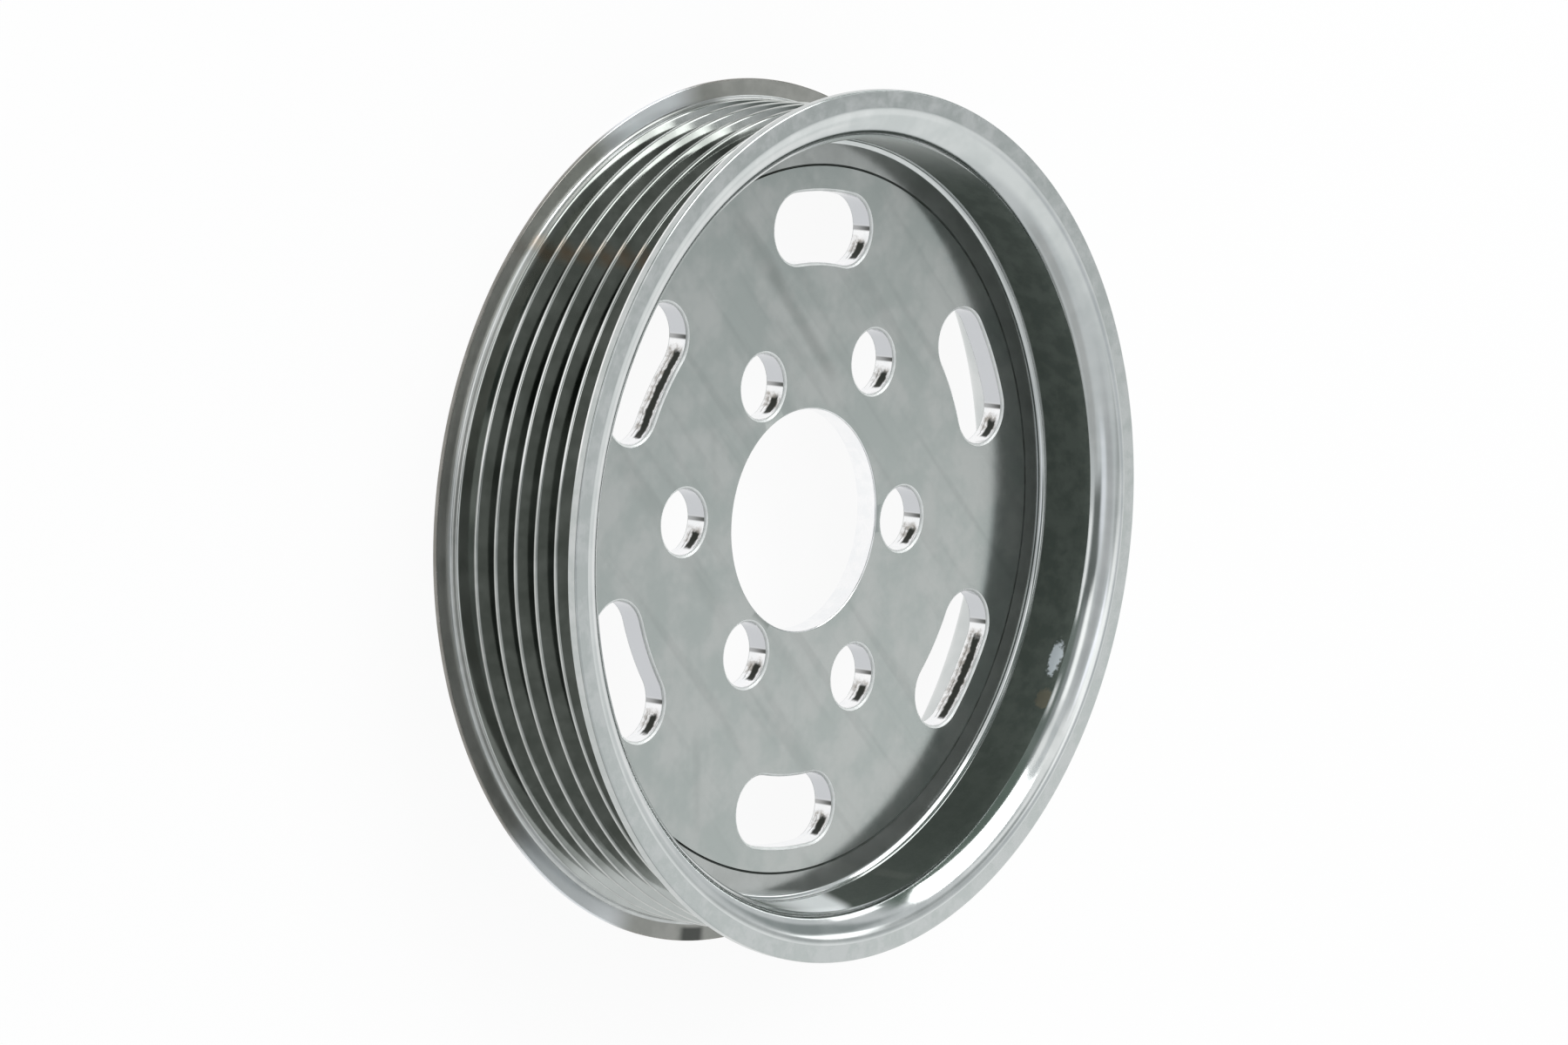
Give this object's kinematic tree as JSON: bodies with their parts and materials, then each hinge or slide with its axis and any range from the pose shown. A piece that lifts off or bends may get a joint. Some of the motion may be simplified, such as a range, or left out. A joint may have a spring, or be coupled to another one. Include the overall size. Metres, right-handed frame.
{
  "type": "belt pulley",
  "caption": "Power steering pump pulley: a steel wheel with a grooved rim between two flanges and a recessed web with a centre bore, bolt holes and slots.",
  "frame": {"origin": "centre of the rear face, on which the pulley lies", "axes": "+Z along the pulley's axis from the rear face to the open front face; +X through one of the inner bolt holes, so that +Y runs through the middle of a slot"},
  "size_m": [0.1204, 0.1204, 0.0253],
  "materials": {
    "plated_steel": "bright zinc plating, satin on the web and turned smooth on the rim"
  },
  "bodies": {
    "root": {"pulley": "plated_steel"}
  },
  "joints": []
}
